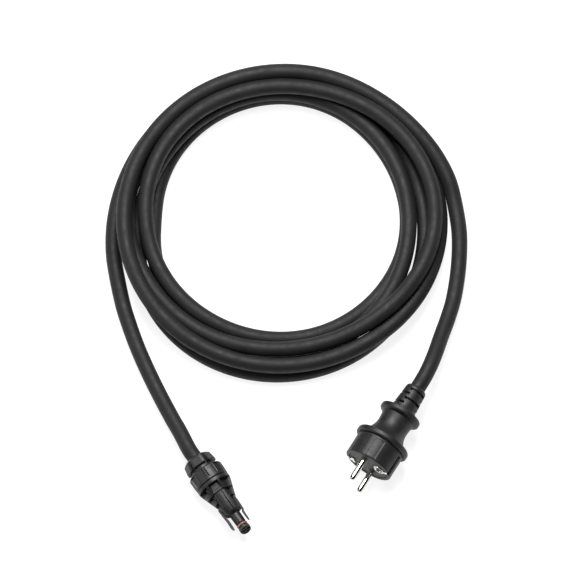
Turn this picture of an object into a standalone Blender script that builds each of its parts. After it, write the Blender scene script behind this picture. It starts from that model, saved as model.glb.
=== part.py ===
"""Mains connection lead: a latching three-pole connector, a coiled rubber cable and a moulded plug.

Metres, +Z up. The lead lies on the plane z = 0. The origin is on that plane, midway between
the connector and the plug. Each end is modelled along its own local +X axis, which points out
of its mating side, and an empty turns and places it.
"""

import math

import bmesh
import bpy
from mathutils import Vector

MM = 0.001
GAP = 0.3 * MM  # clearance between pieces that touch in the real lead
FACETS = 36  # around a plain round piece
FEW_FACETS = 16  # around a small round piece

# The cable: a three-core rubber flex, 11.8 mm across.
CABLE_RADIUS = 5.9 * MM
CORE_RADIUS = 1.5 * MM
COIL_CENTRE = Vector((-17.86, 191.44, 0.0)) * MM
COIL_INNER_RADIUS = 87.5 * MM
COIL_OUTER_RADIUS = 127.0 * MM
COIL_HEIGHT = 34.0 * MM
COIL_EDGE_RADIUS = 9.0 * MM
COIL_FACETS = 40
TUBE_SPACING = 2.0 * 2 * CABLE_RADIUS

# The connector, local x from the back face of its gland nut.
CONNECTOR_PLACE = Vector((-81.86, 0.94, 13.98)) * MM
CONNECTOR_HEADING = -56.5
CONNECTOR_ROLL = 12.0
NUT_LENGTH = 9.3 * MM
NUT_LUGS = 6
NUT_BORE_RADIUS = 6.5 * MM
THREAD_RADIUS = 9.7 * MM
NECK_BORE_RADIUS = 8.9 * MM
NECK_START = 3.0 * MM
BARREL_START = 9.6 * MM
BARREL_END = 26.3 * MM
BARREL_RADIUS = 13.6 * MM
CONE_END = 43.5 * MM
CONE_END_RADIUS = 7.9 * MM
SLEEVE_START = 43.8 * MM
SLEEVE_END = 52.0 * MM
RIDGE_HALF_WIDTH = 4.2 * MM
NOSE_RADIUS = 3.75 * MM
NOSE_START = 46.5 * MM
NOSE_END = 64.8 * MM
CONNECTOR_LENGTH = 68.2 * MM
SHEATH_END = 9.2 * MM
ARM_ROOT = Vector((46.6, 7.4, 0.0)) * MM
CONTACT_SPACING = 1.5 * MM
TERMINAL_SPACING = 5.4 * MM

# The plug, local x from the back end of its strain relief; its two pins lie along local z.
PLUG_PLACE = Vector((83.54, 53.94, 21.39)) * MM
PLUG_HEADING = -120.98
PLUG_ROLL = 18.7
BOOT_LENGTH = 21.2 * MM
BODY_START = 21.5 * MM
FLANGE_RADIUS = 15.85 * MM
COLLAR_RADIUS = 21.4 * MM
COLLAR_START = 47.9 * MM
COLLAR_END = 52.7 * MM
FRONT_RADIUS = 19.1 * MM
FACE = 71.4 * MM
BRIDGE_RADIUS = 15.9 * MM
BRIDGE_BACK = 57.2 * MM
PIN_RADIUS = 2.4 * MM
PIN_OFFSET = 9.5 * MM
PIN_LENGTH = 19.0 * MM
EARTH_OFFSET = 10.0 * MM
PLUG_SHEATH_END = 26.3 * MM

# Where the cable leaves each end for the coil: points on its centre line, in world space.
PLUG_TAIL = [
    Vector(point) * MM
    for point in (
        (93.2, 72.2, 20.6),
        (97.4, 84.2, 17.4),
        (101.9, 99.6, 12.4),
        (106.9, 115.4, 8.8),
        (111.1, 131.0, 6.8),
        (114.2, 150.4, 6.0),
        (115.7, 169.6, 6.0),
        (115.4, 188.0, 6.0),
    )
]
CONNECTOR_TAIL = [
    Vector(point) * MM
    for point in (
        (-93.6, 22.8, 12.6),
        (-98.8, 33.0, 10.8),
        (-108.4, 53.2, 7.8),
        (-117.4, 73.2, 6.2),
        (-125.4, 92.6, 6.0),
        (-132.1, 112.0, 6.0),
        (-137.2, 130.0, 6.0),
    )
]


def clear_scene():
    for leftover in list(bpy.data.objects):
        bpy.data.objects.remove(leftover, do_unlink=True)


def material(name, colour, roughness, metallic=0.0):
    finish = bpy.data.materials.new(name)
    finish.use_nodes = True
    shader = finish.node_tree.nodes["Principled BSDF"]
    shader.inputs["Base Color"].default_value = (*colour, 1.0)
    shader.inputs["Roughness"].default_value = roughness
    shader.inputs["Metallic"].default_value = metallic
    finish.diffuse_color = (*colour, 1.0)
    return finish


def placed(mesh, name, finish, parent):
    """A new object of this mesh, shaded smooth except at its sharp edges."""
    made = bpy.data.objects.new(name, mesh)
    bpy.context.scene.collection.objects.link(made)
    made.parent = parent
    if finish:
        mesh.materials.append(finish)
    mesh.shade_smooth()
    mesh.set_sharp_from_angle(angle=math.radians(35))
    return made


def mesh_from(bm, name):
    bmesh.ops.recalc_face_normals(bm, faces=bm.faces)
    mesh = bpy.data.meshes.new(name)
    bm.to_mesh(mesh)
    bm.free()
    return mesh


def frame(name, place, roll=0.0, heading=0.0, parent=None):
    """An empty that places and turns the pieces under it."""
    made = bpy.data.objects.new(name, None)
    bpy.context.scene.collection.objects.link(made)
    made.location = place
    made.rotation_euler = (math.radians(roll), 0.0, math.radians(heading))
    made.parent = parent
    return made


def even_angles(count):
    return [2 * math.pi * step / count for step in range(count)]


def angles_with(edges, count=FACETS, step_width=0.7):
    """Evenly spread angles, with a close pair at each edge given in degrees, for a steep step."""
    half_gap = math.radians(360 / count * 0.4)
    steps = []
    for edge in edges:
        for side in (-0.5, 0.5):
            steps.append(math.radians((edge + side * step_width) % 360))
    kept = [a for a in even_angles(count) if all(abs(wrapped(a - s)) > half_gap for s in steps)]
    return sorted(kept + steps)


def wrapped(angle):
    """The same angle between -pi and pi."""
    return (angle + math.pi) % (2 * math.pi) - math.pi


def between(angle, middle, width):
    """True where an angle in radians lies within width degrees, centred on middle degrees."""
    return abs(wrapped(angle - math.radians(middle))) < math.radians(width / 2)


def lofted(name, angles, stations, finish, parent, bored=True):
    """A solid through rings about local x. A station is (x, radius), or (x, function of angle)."""
    bm = bmesh.new()
    rings = []
    for x, radius in stations:
        ring = []
        for angle in angles:
            r = radius(angle) if callable(radius) else radius
            ring.append(bm.verts.new((x, r * math.sin(angle), r * math.cos(angle))))
        rings.append(ring)
    count = len(angles)
    pairs = list(zip(rings, rings[1:]))
    if bored:
        pairs.append((rings[-1], rings[0]))
    for one, other in pairs:
        for i in range(count):
            j = (i + 1) % count
            bm.faces.new((one[i], one[j], other[j], other[i]))
    if not bored:
        bm.faces.new(rings[0])
        bm.faces.new(rings[-1])
    return placed(mesh_from(bm, name), name, finish, parent)


def turned(name, outline, finish, parent, facets=FACETS, bored=True):
    return lofted(name, even_angles(facets), outline, finish, parent, bored)


def extruded(name, outline, axis, low, high, finish, parent):
    """An outline in the plane across local y or z, pushed from low to high along that axis."""
    bm = bmesh.new()
    if axis == "y":
        corners = [Vector((x, low, z)) for x, z in outline]
        push = Vector((0, high - low, 0))
    else:
        corners = [Vector((x, y, low)) for x, y in outline]
        push = Vector((0, 0, high - low))
    face = bm.faces.new([bm.verts.new(corner) for corner in corners])
    grown = bmesh.ops.extrude_face_region(bm, geom=[face])["geom"]
    moved = [part for part in grown if isinstance(part, bmesh.types.BMVert)]
    bmesh.ops.translate(bm, verts=moved, vec=push)
    return placed(mesh_from(bm, name), name, finish, parent)


def helper(shape):
    """Marks a cutter or a piece that is only joined into another one."""
    shape.hide_render = True
    shape.display_type = "WIRE"
    return shape


def box_helper(name, low, high, parent):
    outline = [(low[0], low[1]), (high[0], low[1]), (high[0], high[1]), (low[0], high[1])]
    return helper(extruded(name, outline, "z", low[2], high[2], None, parent))


def rod_helper(name, start, end, radius, parent, place=(0, 0), facets=FEW_FACETS):
    rod = helper(turned(name, [(start, radius), (end, radius)], None, parent, facets, bored=False))
    rod.location = (0, *place)
    return rod


def combine(target, other, operation, solver):
    step = target.modifiers.new(other.name, "BOOLEAN")
    step.operation = operation
    step.solver = solver
    step.object = other


def cut(target, *cutters):
    for cutter in cutters:
        combine(target, cutter, "DIFFERENCE", "EXACT")


def join(target, *others):
    """Unions closed pieces; the exact solver drops this target, and the manifold one keeps it."""
    for other in others:
        combine(target, other, "UNION", "MANIFOLD")


def bevelled(shape, width, segments=1):
    step = shape.modifiers.new("edge", "BEVEL")
    step.width = width
    step.segments = segments
    step.limit_method = "ANGLE"
    return shape


def smooth_route(points, spacing):
    """Points at an even spacing along a Catmull-Rom curve through the given ones."""
    ends = [2 * points[0] - points[1], *points, 2 * points[-1] - points[-2]]
    fine = []
    for a, b, c, d in zip(ends, ends[1:], ends[2:], ends[3:]):
        for part in range(20):
            t = part / 20
            fine.append(
                0.5 * (2 * b + (c - a) * t + (2 * a - 5 * b + 4 * c - d) * t**2
                       + (3 * b - a - 3 * c + d) * t**3)
            )
    fine.append(points[-1])
    lengths = [0.0]
    for one, other in zip(fine, fine[1:]):
        lengths.append(lengths[-1] + (other - one).length)
    count = max(2, round(lengths[-1] / spacing))
    route = []
    here = 0
    for step in range(count + 1):
        goal = lengths[-1] * step / count
        while here < len(fine) - 2 and lengths[here + 1] < goal:
            here += 1
        share = (goal - lengths[here]) / (lengths[here + 1] - lengths[here])
        route.append(fine[here].lerp(fine[here + 1], min(max(share, 0.0), 1.0)))
    return route


def tube(name, route, radius, finish, parent=None, resolution=2):
    """A closed round tube along a route, with its ends capped."""
    curve = bpy.data.curves.new(name, "CURVE")
    curve.dimensions = "3D"
    curve.bevel_depth = radius
    curve.bevel_resolution = resolution
    curve.use_fill_caps = True
    spline = curve.splines.new("POLY")
    spline.points.add(len(route) - 1)
    for knot, point in zip(spline.points, route):
        knot.co = (*point, 1.0)
    curve.materials.append(finish)
    made = bpy.data.objects.new(name, curve)
    bpy.context.scene.collection.objects.link(made)
    made.parent = parent
    return made


# ---- the connector ----------------------------------------------------------------------


def make_gland_nut(parent, finish):
    """Six broad lugs with narrow grooves between them, and a bore that widens to the thread."""
    pitch = 360 / NUT_LUGS
    grooves = [pitch * (lug + 0.5) for lug in range(NUT_LUGS)]
    groove_width = 7.0
    edges = [middle + side * groove_width / 2 for middle in grooves for side in (-1, 1)]

    def lugged(radius, depth):
        def radius_at(angle):
            in_groove = any(between(angle, middle, groove_width) for middle in grooves)
            return radius - depth if in_groove else radius
        return radius_at

    outline = [
        (0.0, NUT_BORE_RADIUS),
        (0.0, 8.6 * MM),
        (0.5 * MM, lugged(9.4 * MM, 0.3 * MM)),
        (2.2 * MM, lugged(11.2 * MM, 0.8 * MM)),
        (8.6 * MM, lugged(12.3 * MM, 1.0 * MM)),
        (NUT_LENGTH, lugged(11.9 * MM, 0.7 * MM)),
        (NUT_LENGTH, THREAD_RADIUS + GAP),
        (1.2 * MM, THREAD_RADIUS + GAP),
        (1.2 * MM, NUT_BORE_RADIUS),
    ]
    lofted("gland_nut", angles_with(edges), outline, finish, parent)


def make_clamp_cage(parent, finish):
    """A ring of six fingers that the nut squeezes onto the seal."""
    inner = 7.9 * MM
    outer = NECK_BORE_RADIUS - GAP
    outline = [(1.5 * MM, inner), (1.5 * MM, outer), (8.4 * MM, outer), (8.4 * MM, inner)]
    cage = turned("clamp_cage", outline, finish, parent, 24)
    slot_half = 0.6 * MM
    for number in range(3):
        low = (3.6 * MM, -slot_half, -2 * outer)
        high = (2 * NUT_LENGTH, slot_half, 2 * outer)
        slot = box_helper(f"cage_slot_{number + 1}", low, high, parent)
        slot.rotation_euler = (math.radians(60 * number + 30), 0, 0)
        cut(cage, slot)


def make_cable_seal(parent, finish):
    inner = CABLE_RADIUS + GAP
    outer = 7.6 * MM
    outline = [(3.6 * MM, inner), (3.6 * MM, outer - 0.5 * MM), (4.4 * MM, outer)]
    outline += [(8.2 * MM, outer), (9.0 * MM, outer - 0.5 * MM), (9.0 * MM, inner)]
    turned("cable_seal", outline, finish, parent, 24)


def barrel_radius(angle):
    """Four broad panels with a double rib on each, and a recessed groove between panels."""
    for quarter in range(4):
        if between(angle, 90 * quarter + 45, 22):
            return BARREL_RADIUS - 1.0 * MM
        for side in (-5.5, 5.5):
            if between(angle, 90 * quarter + side, 3.4):
                return BARREL_RADIUS + 0.4 * MM
    return BARREL_RADIUS


def cone_radius(x):
    share = (x - BARREL_END) / (CONE_END - BARREL_END)
    return BARREL_RADIUS + (CONE_END_RADIUS - BARREL_RADIUS) * share


def channelled(x, pocket=False):
    """The cone's section at x: a flat channel above and below, and a pocket on each flank."""
    floor = 7.9 * MM

    def radius_at(angle):
        for middle in (0, 180):
            if between(angle, middle, 60):
                tilt = abs(wrapped(angle - math.radians(middle)))
                return min(floor / math.cos(tilt), cone_radius(x))
        for middle in (90, 270):
            if pocket and between(angle, middle, 96):
                return cone_radius(x) - 2.6 * MM
        return cone_radius(x)

    return radius_at


def make_housing(parent, finish):
    edges = [90 * quarter + 45 + side for quarter in range(4) for side in (-11, 11)]
    for quarter in range(4):
        edges += [90 * quarter + side for side in (-7.2, -3.8, 3.8, 7.2)]
    edges += [middle + side for middle in (0, 180) for side in (-30, 30)]
    edges += [42, 138, 222, 318]
    step = 0.4 * MM
    stations = [
        (NECK_START, NECK_BORE_RADIUS),
        (NECK_START, THREAD_RADIUS),
        (BARREL_START, THREAD_RADIUS),
        (BARREL_START, 12.4 * MM),
        (BARREL_START + 1.0 * MM, barrel_radius),
        (22.4 * MM, barrel_radius),
        (22.8 * MM, BARREL_RADIUS),
        (BARREL_END, BARREL_RADIUS),
    ]
    for start, end in ((26.9, 30.3), (34.2, 37.2), (40.6, 42.6)):
        stations.append((start * MM, channelled(start * MM)))
        stations.append((start * MM + step, channelled(start * MM + step, pocket=True)))
        stations.append((end * MM - step, channelled(end * MM - step, pocket=True)))
        stations.append((end * MM, channelled(end * MM)))
    bore = 5.6 * MM
    chamber = 11.0 * MM
    stations += [
        (CONE_END, channelled(CONE_END)),
        (CONE_END, bore),
        (25.2 * MM, bore),
        (23.8 * MM, chamber),
        (12.8 * MM, chamber),
        (12.5 * MM, NECK_BORE_RADIUS),
    ]
    lofted("connector_housing", angles_with(edges, 24), stations, finish, parent)


def make_latch_sleeve(parent, finish):
    """The front collar that carries the latch arms, with a tongue in each channel of the cone."""
    bore = 5.5 * MM
    outline = [
        (SLEEVE_START, bore),
        (SLEEVE_START, 8.4 * MM),
        (46.0 * MM, 8.2 * MM),
        (46.4 * MM, 6.7 * MM),
        (SLEEVE_END - 0.3 * MM, 6.5 * MM),
        (SLEEVE_END, 6.3 * MM),
        (SLEEVE_END, bore),
    ]
    sleeve = turned("latch_sleeve", outline, finish, parent, 24)
    for side in (1, -1):
        ridge = [(34.0, 8.3), (44.2, 8.3), (44.2, 6.0), (51.6, 6.0)]
        ridge += [(51.6, 7.4), (46.3, 8.8), (34.0, 9.6)]
        profile = [(x * MM, side * z * MM) for x, z in ridge]
        name = "upper_ridge" if side > 0 else "lower_ridge"
        half = RIDGE_HALF_WIDTH
        wedge = helper(extruded(name, profile, "y", -half, half, None, parent))
        join(sleeve, wedge)


def make_latch_arm(name, side, parent, finish):
    """A springy arm beside the nose; its origin is on the axis that it flexes about."""
    root = frame(name + "_root", (ARM_ROOT.x, side * ARM_ROOT.y, 0.0), parent=parent)
    outline = [
        (0.1, -0.4), (6.8, -0.4), (7.6, -0.9), (14.4, -1.35), (16.4, -0.75),
        (16.4, -0.15), (7.5, 0.55), (6.8, 1.0), (0.1, 1.0),
    ]
    profile = [(x * MM, side * y * MM) for x, y in outline]
    half_width = 2.4 * MM
    arm = extruded(name, profile, "z", -half_width, half_width, finish, root)
    bevelled(arm, 0.2 * MM)


def make_carrier(parent, finish):
    """The moulded insert that holds the three contacts apart."""
    outline = [(13.1 * MM, 10.6 * MM), (23.4 * MM, 10.6 * MM), (23.4 * MM, 5.2 * MM)]
    outline.append((46.1 * MM, 5.2 * MM))
    carrier = turned("contact_carrier", outline, finish, parent, 24, bored=False)
    for number in (-1, 0, 1):
        middle = number * TERMINAL_SPACING
        low = (12.0 * MM, -2.2 * MM, middle - 2.1 * MM)
        high = (21.4 * MM, 5.4 * MM, middle + 2.1 * MM)
        cut(carrier, box_helper(f"terminal_chamber_{number + 2}", low, high, parent))
    tall = 7.4 * MM
    low = (20.8 * MM, -1.6 * MM, -tall)
    cut(carrier, box_helper("link_slot", low, (22.9 * MM, 1.6 * MM, tall), parent))
    low = (22.0 * MM, -1.7 * MM, -2.4 * MM)
    cut(carrier, box_helper("blade_slot", low, (47.0 * MM, 1.7 * MM, 2.4 * MM), parent))


def make_contact(name, number, parent, finish):
    """A terminal block, a link and a long blade, bent up from one strip."""
    outer = number * TERMINAL_SPACING
    blade = number * CONTACT_SPACING
    thick = 0.25
    tall = 1.6
    z_out = outer / MM
    z_in = blade / MM
    if number == 0:
        outline = [(14.5, -tall), (21.0, -tall), (21.0, -thick), (64.4, -thick)]
        outline += [(64.4, thick), (21.0, thick), (21.0, tall), (14.5, tall)]
    else:
        s = number
        outline = [(14.5, z_out + s * tall), (22.2, z_out + s * tall)]
        outline += [(22.2, z_in + s * thick), (64.4, z_in + s * thick)]
        outline += [(64.4, z_in - s * thick), (21.4, z_in - s * thick)]
        outline += [(21.4, z_out - s * tall), (14.5, z_out - s * tall)]
    profile = [(x * MM, z * MM) for x, z in outline]
    extruded(name, profile, "y", -1.2 * MM, 1.2 * MM, finish, parent)


def make_terminal_screw(name, number, parent, finish):
    outline = [(0.0, 0.9 * MM), (1.6 * MM, 0.9 * MM), (1.6 * MM, 1.6 * MM), (2.8 * MM, 1.6 * MM)]
    screw = turned(name, outline, finish, parent, 12, bored=False)
    screw.location = (17.0 * MM, 1.5 * MM, number * TERMINAL_SPACING)
    screw.rotation_euler = (0, 0, math.radians(90))


def make_nose(parent, finish, ring_finish, insert_finish):
    bore = 2.2 * MM
    groove = 2.9 * MM
    outline = [
        (NOSE_START, bore),
        (NOSE_START, 5.1 * MM),
        (49.0 * MM, 5.1 * MM),
        (49.6 * MM, NOSE_RADIUS),
        (62.0 * MM, NOSE_RADIUS),
        (62.0 * MM, groove),
        (64.2 * MM, groove),
        (64.2 * MM, NOSE_RADIUS),
        (NOSE_END, NOSE_RADIUS),
        (NOSE_END, bore),
    ]
    turned("nose_tube", outline, finish, parent, 24)
    section = 0.55 * MM
    centre = groove + GAP + section
    loop = []
    for angle in even_angles(8):
        loop.append((63.1 * MM + section * math.cos(angle), centre + section * math.sin(angle)))
    turned("nose_o_ring", loop, ring_finish, parent, 24)
    start = NOSE_END + GAP
    outline = [(start, NOSE_RADIUS), (CONNECTOR_LENGTH - 0.9 * MM, NOSE_RADIUS)]
    outline += [(CONNECTOR_LENGTH, 3.1 * MM)]
    insert = turned("keyed_insert", outline, insert_finish, parent, 24, bored=False)
    for number in (-1, 0, 1):
        middle = number * CONTACT_SPACING
        low = (start - MM, -2.0 * MM, middle - 0.35 * MM)
        high = (CONNECTOR_LENGTH + MM, 2.0 * MM, middle + 0.35 * MM)
        cut(insert, box_helper(f"insert_slot_{number + 2}", low, high, parent))


def make_connector_cores(parent, finishes):
    start = SHEATH_END + GAP
    end = 13.9 * MM
    routes = {
        "connector_core_line": ((0.0, 2.6), (0.0, 5.4)),
        "connector_core_neutral": ((-2.3, -1.4), (0.0, 0.0)),
        "connector_core_earth": ((2.3, -1.4), (0.0, -5.4)),
    }
    for (name, (near, far)), finish in zip(routes.items(), finishes):
        one = Vector((start, near[0] * MM, near[1] * MM))
        other = Vector((end, far[0] * MM, far[1] * MM))
        bend_in = Vector((start + 0.9 * MM, one.y, one.z))
        bend_out = Vector((end - 1.7 * MM, other.y, other.z))
        route = smooth_route([one, bend_in, bend_out, other], 1.1 * MM)
        tube(name, route, CORE_RADIUS, finish, parent)


# ---- the plug ---------------------------------------------------------------------------


def make_boot(parent, finish):
    """The tapered strain relief, with two slots in each of four rings, staggered."""
    slot_depth = 1.9 * MM
    slot_width = 1.3 * MM

    def taper(x):
        return 8.2 * MM + 1.6 * MM * x / BOOT_LENGTH

    def slotted(x, middle):
        def radius_at(angle):
            inside = between(angle, middle, 110) or between(angle, middle + 180, 110)
            return taper(x) - slot_depth if inside else taper(x)
        return radius_at

    bore = CABLE_RADIUS + GAP
    neck = 7.9 * MM
    stations = [(0.0, bore), (0.0, 7.2 * MM), (0.9 * MM, 8.05 * MM)]
    for number in range(4):
        start = (3.6 + 4.2 * number) * MM
        middle = 55 if number % 2 == 0 else -35
        stations.append((start, taper(start)))
        stations.append((start + 0.1 * MM, slotted(start, middle)))
        stations.append((start + slot_width, slotted(start + slot_width, middle)))
        stations.append((start + slot_width + 0.1 * MM, taper(start + slot_width)))
    stations += [(BOOT_LENGTH, taper(BOOT_LENGTH)), (BOOT_LENGTH, neck)]
    stations += [(PLUG_SHEATH_END, neck), (PLUG_SHEATH_END, bore)]
    edges = [middle + side for middle in (55, 235, -35, 145) for side in (-55, 55)]
    lofted("plug_strain_relief", angles_with(edges, 20), stations, finish, parent)


def waist_stations():
    """The concave waist between the rear flange and the collar, as a sine sweep."""
    start = 27.6 * MM
    end = COLLAR_START
    points = []
    for step in range(7):
        share = step / 6
        drop = math.sin(math.pi * min(share * 1.15, 1.0)) * 0.7 * MM
        rise = max(0.0, share - 0.4) ** 2 * 9.0 * MM
        points.append((start + (end - start) * share, 12.9 * MM - drop + rise))
    return points


def front_radius(angle):
    """The part that enters a socket: a channel at each side, and recessed panels between them."""
    for middle in (90, 270):
        if between(angle, middle, 22):
            return FRONT_RADIUS - 2.2 * MM
    for middle in (0, 180):
        for side in (-20.5, 20.5):
            if between(angle, middle + side, 28):
                return FRONT_RADIUS - 0.8 * MM
    return FRONT_RADIUS


def channel_radius(angle):
    in_channel = between(angle, 90, 22) or between(angle, 270, 22)
    return FRONT_RADIUS - 2.2 * MM if in_channel else FRONT_RADIUS


def make_plug_body(parent, finish):
    """The rubber moulding: flange, waist, collar and front, hollow where the insert sits."""
    rear_bore = 8.2 * MM
    passage = 4.6 * MM
    cavity = 11.6 * MM
    socket = BRIDGE_RADIUS + GAP
    stations = [
        (BODY_START, rear_bore),
        (BODY_START, 10.6 * MM),
        (22.6 * MM, 11.6 * MM),
        (23.0 * MM, 14.9 * MM),
        (23.9 * MM, FLANGE_RADIUS),
        (25.8 * MM, FLANGE_RADIUS),
        (26.7 * MM, 15.0 * MM),
        (27.0 * MM, 13.6 * MM),
    ]
    stations += waist_stations()
    stations += [
        (COLLAR_START, 20.4 * MM),
        (COLLAR_START + 1.0 * MM, COLLAR_RADIUS),
        (COLLAR_END - 1.0 * MM, COLLAR_RADIUS),
        (COLLAR_END, 20.6 * MM),
        (COLLAR_END, FRONT_RADIUS),
        (54.6 * MM, FRONT_RADIUS),
        (54.9 * MM, front_radius),
        (68.4 * MM, front_radius),
        (68.7 * MM, channel_radius),
        (FACE - 0.6 * MM, channel_radius),
        (FACE, lambda angle: channel_radius(angle) - 0.5 * MM),
        (FACE, socket),
        (54.2 * MM, socket),
        (54.2 * MM, cavity),
        (44.4 * MM, cavity),
        (35.0 * MM, passage),
        (26.9 * MM, passage),
        (26.7 * MM, rear_bore),
    ]
    edges = [middle + side for middle in (90, 270) for side in (-11, 11)]
    for middle in (0, 180):
        edges += [middle + side for side in (-34.5, -6.5, 6.5, 34.5)]
    lofted("plug_body", angles_with(edges, 32), stations, finish, parent)


def make_bridge(parent, finish):
    """The hard insert whose flat front is the plug's face."""
    outline = [
        (BRIDGE_BACK, BRIDGE_RADIUS),
        (FACE - 0.8 * MM, BRIDGE_RADIUS),
        (FACE - 0.2 * MM, BRIDGE_RADIUS - 0.6 * MM),
    ]
    bridge = turned("pin_bridge", outline, finish, parent, 32, bored=False)
    start = BRIDGE_BACK - MM
    end = FACE + MM
    hole = PIN_RADIUS + GAP
    for name, side in (("line_hole", 1), ("neutral_hole", -1)):
        cut(bridge, rod_helper(name, start, end, hole, parent, (0, side * PIN_OFFSET)))
    cut(bridge, rod_helper("earth_hole", start, end, 5.1 * MM, parent, (EARTH_OFFSET, 0)))


def make_pin(name, side, parent, finish):
    """A round pin with a shoulder behind the insert, a domed tip and a crimp spigot."""
    tip = FACE + PIN_LENGTH
    outline = [
        (51.0 * MM, 1.6 * MM),
        (55.2 * MM, 1.8 * MM),
        (55.2 * MM, 3.3 * MM),
        (56.8 * MM, 3.3 * MM),
        (56.8 * MM, PIN_RADIUS),
        (tip - 1.8 * MM, PIN_RADIUS),
        (tip - 0.8 * MM, 2.1 * MM),
        (tip - 0.2 * MM, 1.5 * MM),
        (tip, 0.8 * MM),
    ]
    pin = turned(name, outline, finish, parent, 20, bored=False)
    pin.location.z = side * PIN_OFFSET


def make_earth_parts(parent, finish, strap_finish):
    outline = [(57.6 * MM, 2.55 * MM), (57.6 * MM, 4.7 * MM), (FACE, 4.7 * MM)]
    outline += [(FACE + 0.3 * MM, 4.4 * MM), (FACE + 0.3 * MM, 2.9 * MM), (FACE, 2.55 * MM)]
    socket = turned("earth_socket", outline, finish, parent, 20)
    socket.location.y = EARTH_OFFSET
    for name, side, reach in (("earth_clip_right", 1, 15.4), ("earth_clip_left", -1, 13.2)):
        strip = [
            (55.4, 17.2), (71.8, 17.2), (71.8, reach), (72.5, reach),
            (72.5, 17.6), (71.9, 18.2), (58.0, 18.2), (55.4, 17.7),
        ]
        profile = [(x * MM, side * y * MM) for x, y in strip]
        clip = extruded(name, profile, "z", -2.9 * MM, 2.9 * MM, finish, parent)
        bevelled(clip, 0.15 * MM)
    bar = [(54.9, -15.7), (57.0, -15.7), (57.0, -14.4), (56.4, -14.0)]
    bar += [(56.4, 14.0), (57.0, 14.4), (57.0, 15.7), (54.9, 15.7)]
    profile = [(x * MM, y * MM) for x, y in bar]
    extruded("earth_strap", profile, "z", -2.2 * MM, 2.2 * MM, strap_finish, parent)


def make_plug_cores(parent, finishes, crimp_finish):
    """Each core runs from the cut sheath to its crimp behind a pin or the earth strap."""
    start = PLUG_SHEATH_END + 0.9 * MM
    ends = {
        "line": ((0.0, 2.5), (0.0, 9.5), 47.0),
        "neutral": ((-2.2, -1.6), (0.0, -9.5), 47.0),
        "earth": ((2.3, -1.2), (0.0, 0.0), 50.4),
    }
    for (name, (near, far, reach)), finish in zip(ends.items(), finishes):
        near = [value * MM for value in near]
        far = [value * MM for value in far]
        knots = [
            Vector((start, *near)),
            Vector((36.5 * MM, *near)),
            Vector((41.0 * MM, (near[0] + far[0]) / 2, (near[1] + far[1]) / 2)),
            Vector((44.6 * MM, *far)),
            Vector(((reach - 1.2) * MM, *far)),
        ]
        route = smooth_route(knots, 3.2 * MM) + [Vector((reach * MM, *far))]
        tube(f"plug_core_{name}", route, CORE_RADIUS, finish, parent)
        outline = [(reach * MM + GAP, 1.4 * MM), (reach * MM + 1.0 * MM, 1.75 * MM)]
        outline += [(reach * MM + 3.6 * MM, 1.75 * MM)]
        crimp = turned(f"crimp_{name}", outline, crimp_finish, parent, 12, bored=False)
        crimp.location = (0, *far)


# ---- the cable --------------------------------------------------------------------------


def make_coil(finish):
    """The space of the coiled turns, as one turned ring with rounded edges."""
    corners = (
        (COIL_INNER_RADIUS, COIL_HEIGHT, 1, -1, 180),
        (COIL_OUTER_RADIUS, COIL_HEIGHT, -1, -1, 90),
        (COIL_OUTER_RADIUS, 0.0, -1, 1, 0),
        (COIL_INNER_RADIUS, 0.0, 1, 1, 270),
    )
    outline = []
    for radius, height, inward, upward, first in corners:
        for step in range(3):
            angle = math.radians(first - 45 * step)
            r = radius + inward * COIL_EDGE_RADIUS + COIL_EDGE_RADIUS * math.cos(angle)
            z = height + upward * COIL_EDGE_RADIUS + COIL_EDGE_RADIUS * math.sin(angle)
            outline.append((z, r))
    coil = turned("cable_coil", outline, finish, None, COIL_FACETS)
    coil.rotation_euler = (0, math.radians(-90), 0)
    coil.location = COIL_CENTRE


def end_run(holder, first, last):
    """Points on the straight stretch inside and just behind one end, in world space."""
    bpy.context.view_layer.update()
    return [holder.matrix_world @ Vector((x * MM, 0, 0)) for x in (first, (first + last) / 2, last)]


def make_tails(connector, plug, finish):
    run = end_run(connector, SHEATH_END / MM, -9.0)
    route = run[:1] + smooth_route(run[1:] + CONNECTOR_TAIL, TUBE_SPACING)
    tube("connector_tail", route, CABLE_RADIUS, finish)
    run = end_run(plug, PLUG_SHEATH_END / MM, -9.0)
    route = run[:1] + smooth_route(run[1:] + PLUG_TAIL, TUBE_SPACING)
    tube("plug_tail", route, CABLE_RADIUS, finish)


def make_connector(holder, moulding, dark, rubber, red, brass, steel, cores):
    make_gland_nut(holder, moulding)
    make_clamp_cage(holder, dark)
    make_cable_seal(holder, rubber)
    make_housing(holder, moulding)
    make_latch_sleeve(holder, moulding)
    make_latch_arm("latch_arm_left", -1, holder, moulding)
    make_latch_arm("latch_arm_right", 1, holder, moulding)
    make_carrier(holder, dark)
    for name, number in (("line", 1), ("neutral", 0), ("earth", -1)):
        make_contact(f"contact_{name}", number, holder, brass)
        make_terminal_screw(f"terminal_screw_{name}", number, holder, steel)
    make_nose(holder, moulding, red, dark)
    make_connector_cores(holder, cores)


def make_plug(holder, rubber, moulding, nickel, brass, cores):
    make_boot(holder, rubber)
    make_plug_body(holder, rubber)
    make_bridge(holder, moulding)
    make_pin("plug_pin_line", 1, holder, nickel)
    make_pin("plug_pin_neutral", -1, holder, nickel)
    make_earth_parts(holder, nickel, brass)
    make_plug_cores(holder, cores, brass)


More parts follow.
